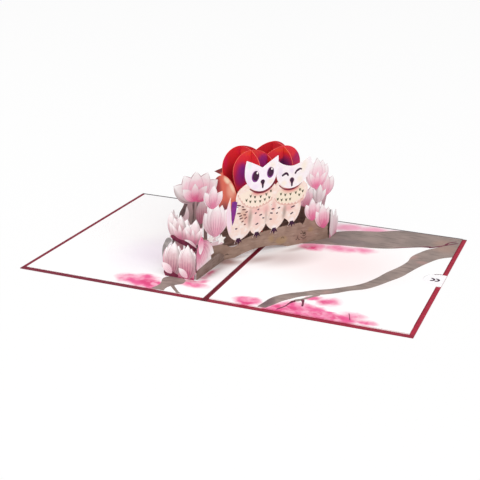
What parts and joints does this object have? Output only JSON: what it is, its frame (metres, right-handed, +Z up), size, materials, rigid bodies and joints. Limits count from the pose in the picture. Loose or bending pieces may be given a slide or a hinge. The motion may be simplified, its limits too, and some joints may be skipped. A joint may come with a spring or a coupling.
{
  "type": "pop up card",
  "caption": "Greeting card open flat, with an upright paper pop-up of two birds on a branch before a heart, among blossoms, and a note card in a side pocket.",
  "frame": {"origin": "under the middle of the fold, on the surface that the open card lies on", "axes": "+X across the fold towards the right page, +Y from the front edge to the back edge, +Z up"},
  "size_m": [0.254, 0.1778, 0.069],
  "materials": {
    "red_card": "smooth coated red card, satin",
    "printed_lining": "uncoated white paper with a soft printed wash",
    "note_stock": "smooth white card",
    "branch_print": "white card printed as bark, matte",
    "dark_branch_print": "white card printed dark brown, matte",
    "owl_print": "white card printed cream and pink, matte",
    "heart_print": "white card printed red to purple, matte",
    "blossom_print": "white card printed as pale pink petals, matte"
  },
  "bodies": {
    "card": {"blossom_corner_left": "blossom_print", "blossom_front_left": "blossom_print", "blossom_low_left": "blossom_print", "blossom_low_right": "blossom_print", "blossom_middle_left": "blossom_print", "blossom_side_left": "blossom_print", "blossom_tall_left": "blossom_print", "blossom_tall_right": "blossom_print", "branch_end": "blossom_print", "branch_front": "branch_print", "branch_rear": "dark_branch_print", "branch_side": "branch_print", "cover": "red_card", "heart_back": "heart_print", "heart_front": "heart_print", "heart_rib_1": "heart_print", "heart_rib_2": "heart_print", "heart_rib_3": "heart_print", "heart_rib_4": "heart_print", "heart_rib_5": "heart_print", "liner_left": "printed_lining", "liner_right": "printed_lining", "owl_body_left": "owl_print", "owl_body_right": "owl_print", "owl_head_left": "owl_print", "owl_head_right": "owl_print"},
    "note": {"note_card": "note_stock"}
  },
  "joints": [
    {"name": "note_card_slide", "type": "slide", "parent": "card", "child": "note", "axis": [1, 0, 0], "range_m": [0, 0.09]}
  ]
}
